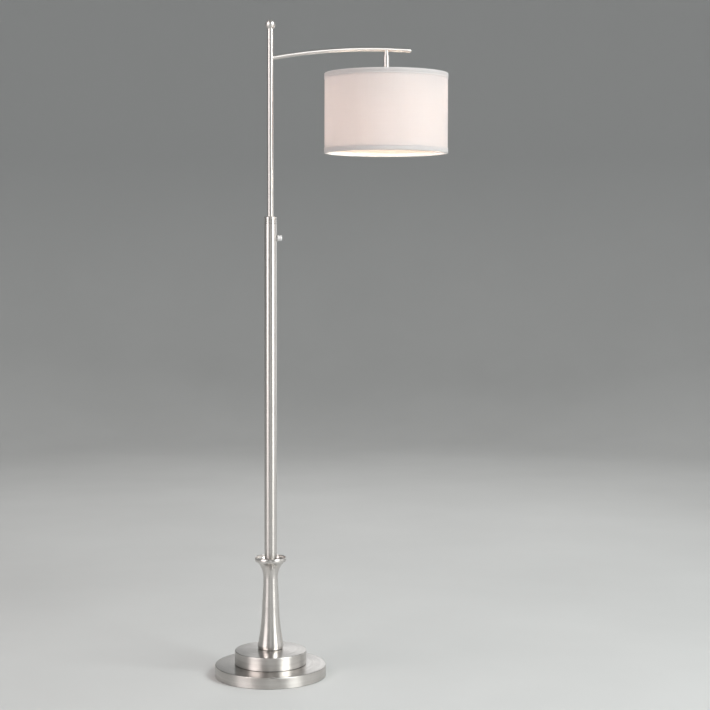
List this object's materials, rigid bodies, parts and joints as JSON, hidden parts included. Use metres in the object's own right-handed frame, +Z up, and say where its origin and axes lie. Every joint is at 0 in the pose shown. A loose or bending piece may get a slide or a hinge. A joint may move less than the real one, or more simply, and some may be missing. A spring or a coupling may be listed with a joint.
{
  "type": "adjustable arm floor lamp",
  "caption": "Satin nickel floor lamp: two-tier round base, trumpet column, telescoping pole with clamp knob, curved side arm and a hanging white drum shade.",
  "frame": {"origin": "centre of the base on the floor, on the pole's axis", "axes": "+Z up the pole, +X along the arm towards the shade, +Y away from the side with the switch"},
  "size_m": [0.5611, 0.297, 1.5854],
  "materials": {
    "felt": "matt felt",
    "zinc_steel": "zinc plated",
    "cast_iron": "as cast, painted",
    "satin_nickel_disc": "brushed round the axis, satin nickel",
    "satin_nickel_turned": "satin nickel",
    "satin_nickel_tube": "satin nickel",
    "polished_nickel": "polished nickel",
    "black_rubber": "matt",
    "nylon": "natural nylon",
    "white_enamel": "white enamel",
    "shade_cloth": "off-white cloth on a clear liner",
    "brass": "plain",
    "insulating_board": "pressed board",
    "phenolic": "moulded",
    "frosted_glass": "frosted",
    "bulb_aluminium": "rolled"
  },
  "bodies": {
    "stand": {"foot_pad": "felt", "bottom_plate": "zinc_steel", "plate_screws": "zinc_steel", "base_weight": "cast_iron", "lower_disc": "satin_nickel_disc", "cord_grommet": "black_rubber", "disc_gasket": "black_rubber", "upper_disc": "satin_nickel_disc", "spacer_tube": "zinc_steel", "threaded_pipe": "zinc_steel", "plate_washer": "zinc_steel", "lock_washer": "zinc_steel", "hex_nut": "zinc_steel", "column_seat": "black_rubber", "column": "satin_nickel_turned", "lower_pole": "satin_nickel_tube", "pole_plug": "zinc_steel", "pole_collar": "satin_nickel_tube", "guide_bush": "nylon", "knob_boss": "satin_nickel_tube"},
    "riser_carrier": {"riser_guide": "nylon"},
    "arm_head": {"upper_pole": "satin_nickel_tube", "guide_clips": "zinc_steel", "pole_top_plug": "zinc_steel", "finial_stud": "zinc_steel", "ball_finial": "satin_nickel_tube", "arm": "satin_nickel_tube", "arm_tip": "satin_nickel_tube", "stem_neck": "satin_nickel_tube", "stem_tube": "satin_nickel_tube", "stem_nipple": "zinc_steel", "shade_fitter": "white_enamel", "fitter_nut": "zinc_steel", "shade_drum": "shade_cloth", "shade_top_ring": "white_enamel", "shade_bottom_ring": "white_enamel", "shade_trim_top": "shade_cloth", "shade_trim_bottom": "shade_cloth", "socket_cap": "satin_nickel_tube", "socket_shell": "brass", "socket_liner": "insulating_board", "socket_core": "phenolic", "screw_shell": "brass", "centre_contact": "brass", "bulb_glass": "frosted_glass", "bulb_base": "bulb_aluminium", "bulb_contact": "bulb_aluminium"},
    "switch": {"switch_shaft": "brass", "switch_knob": "phenolic"},
    "clamp_pad_carrier": {"clamp_pad": "brass"},
    "clamp": {"clamp_screw": "zinc_steel", "clamp_knob": "polished_nickel"}
  },
  "joints": [
    {"name": "height_slide", "type": "slide", "parent": "stand", "child": "riser_carrier", "axis": [0, 0, 1], "range_m": [-0.3, 0.05]},
    {"name": "arm_swing", "type": "hinge", "parent": "riser_carrier", "child": "arm_head", "pos_m": [0, 0, 1.49], "axis": [0, 0, 1], "range_deg": [-175, 175]},
    {"name": "knob_travel", "type": "slide", "parent": "stand", "child": "clamp_pad_carrier", "axis": [1, 0, 0], "range_m": [0, 0.0015]},
    {"name": "knob_turn", "type": "hinge", "parent": "clamp_pad_carrier", "child": "clamp", "pos_m": [0.0166, 0, 1.064], "axis": [1, 0, 0], "range_deg": [0, 540]},
    {"name": "switch_turn", "type": "hinge", "parent": "arm_head", "child": "switch", "pos_m": [0.2776, -0.023, 1.4055], "axis": [0, -1, 0], "continuous": true}
  ],
  "couplings": [
    {"joint": "knob_turn", "follows": "knob_travel", "rad_per_m": 6283.2}
  ]
}
